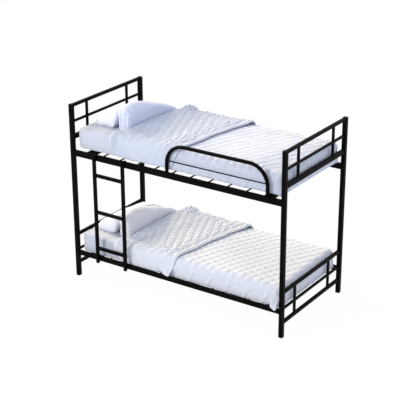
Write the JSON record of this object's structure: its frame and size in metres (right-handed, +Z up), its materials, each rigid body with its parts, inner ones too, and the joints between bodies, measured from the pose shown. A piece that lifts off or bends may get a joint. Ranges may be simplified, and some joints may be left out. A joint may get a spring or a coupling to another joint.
{
  "type": "bunk bed with ladder",
  "caption": "Black square-tube metal bunk bed for single mattresses, with a hook-on ladder, an arched guard rail, wire mattress bases, mattresses, quilts and pillows.",
  "frame": {"origin": "on the floor, at the middle of the whole bed's outline, ladder included", "axes": "+X from the head end to the foot end, +Y from the ladder side to the back, +Z up"},
  "size_m": [2.07, 0.9956, 1.55],
  "materials": {
    "frame_steel": "satin black powder coat",
    "foot_plastic": "moulded matte black",
    "mattress_cover": "plain woven white sheet",
    "quilt_fabric": "white quilted cotton",
    "pillow_fabric": "plain woven white pillowcase"
  },
  "bodies": {
    "frame": {"foot_cap_foot_back": "foot_plastic", "foot_cap_foot_front": "foot_plastic", "foot_cap_head_back": "foot_plastic", "foot_cap_head_front": "foot_plastic", "foot_lower_bottom_rail": "frame_steel", "foot_lower_middle_rail": "frame_steel", "foot_lower_spindle_back_high": "frame_steel", "foot_lower_spindle_back_low": "frame_steel", "foot_lower_spindle_front_high": "frame_steel", "foot_lower_spindle_front_low": "frame_steel", "foot_lower_top_rail": "frame_steel", "foot_upper_bottom_rail": "frame_steel", "foot_upper_middle_rail": "frame_steel", "foot_upper_spindle_back_high": "frame_steel", "foot_upper_spindle_back_low": "frame_steel", "foot_upper_spindle_front_high": "frame_steel", "foot_upper_spindle_front_low": "frame_steel", "foot_upper_top_rail": "frame_steel", "guard_spigot_foot": "frame_steel", "guard_spigot_head": "frame_steel", "head_lower_bottom_rail": "frame_steel", "head_lower_middle_rail": "frame_steel", "head_lower_spindle_back_high": "frame_steel", "head_lower_spindle_back_low": "frame_steel", "head_lower_spindle_front_high": "frame_steel", "head_lower_spindle_front_low": "frame_steel", "head_lower_top_rail": "frame_steel", "head_upper_bottom_rail": "frame_steel", "head_upper_middle_rail": "frame_steel", "head_upper_spindle_back_high": "frame_steel", "head_upper_spindle_back_low": "frame_steel", "head_upper_spindle_front_high": "frame_steel", "head_upper_spindle_front_low": "frame_steel", "head_upper_top_rail": "frame_steel", "lower_back_side_rail": "frame_steel", "lower_front_side_rail": "frame_steel", "lower_slat_base": "frame_steel", "post_foot_back": "frame_steel", "post_foot_front": "frame_steel", "post_head_back": "frame_steel", "post_head_front": "frame_steel", "upper_back_side_rail": "frame_steel", "upper_front_side_rail": "frame_steel", "upper_slat_base": "frame_steel"},
    "ladder": {"ladder_rung_1": "frame_steel", "ladder_rung_2": "frame_steel", "ladder_rung_3": "frame_steel", "ladder_stile_foot": "frame_steel", "ladder_stile_head": "frame_steel"},
    "guard_rail": {"guard_rail_hoop": "frame_steel", "guard_rail_rod": "frame_steel"},
    "upper_mattress_set": {"upper_mattress": "mattress_cover", "upper_quilt": "quilt_fabric"},
    "lower_mattress_set": {"lower_mattress": "mattress_cover", "lower_quilt": "quilt_fabric", "lower_quilt_tip": "quilt_fabric"},
    "upper_back_pillow": {"upper_pillow_back": "pillow_fabric"},
    "upper_front_pillow": {"upper_pillow_front": "pillow_fabric"},
    "lower_back_pillow": {"lower_pillow_back": "pillow_fabric"},
    "lower_front_pillow": {"lower_pillow_front": "pillow_fabric"}
  },
  "joints": [
    {"name": "ladder_lift", "type": "slide", "parent": "frame", "child": "ladder", "axis": [0, 0, 1], "range_m": [0, 0.05]},
    {"name": "guard_rail_lift", "type": "slide", "parent": "frame", "child": "guard_rail", "axis": [0, 0, 1], "range_m": [0, 0.08]},
    {"name": "upper_mattress_lift", "type": "slide", "parent": "frame", "child": "upper_mattress_set", "axis": [0, 0, 1], "range_m": [0, 0.3]},
    {"name": "lower_mattress_lift", "type": "slide", "parent": "frame", "child": "lower_mattress_set", "axis": [0, 0, 1], "range_m": [0, 0.2]},
    {"name": "upper_back_pillow_lift", "type": "slide", "parent": "upper_mattress_set", "child": "upper_back_pillow", "axis": [0, 0, 1], "range_m": [0, 0.2]},
    {"name": "upper_front_pillow_lift", "type": "slide", "parent": "upper_mattress_set", "child": "upper_front_pillow", "axis": [0, 0, 1], "range_m": [0, 0.2]},
    {"name": "lower_back_pillow_lift", "type": "slide", "parent": "lower_mattress_set", "child": "lower_back_pillow", "axis": [0, 0, 1], "range_m": [0, 0.2]},
    {"name": "lower_front_pillow_lift", "type": "slide", "parent": "lower_mattress_set", "child": "lower_front_pillow", "axis": [0, 0, 1], "range_m": [0, 0.2]}
  ]
}
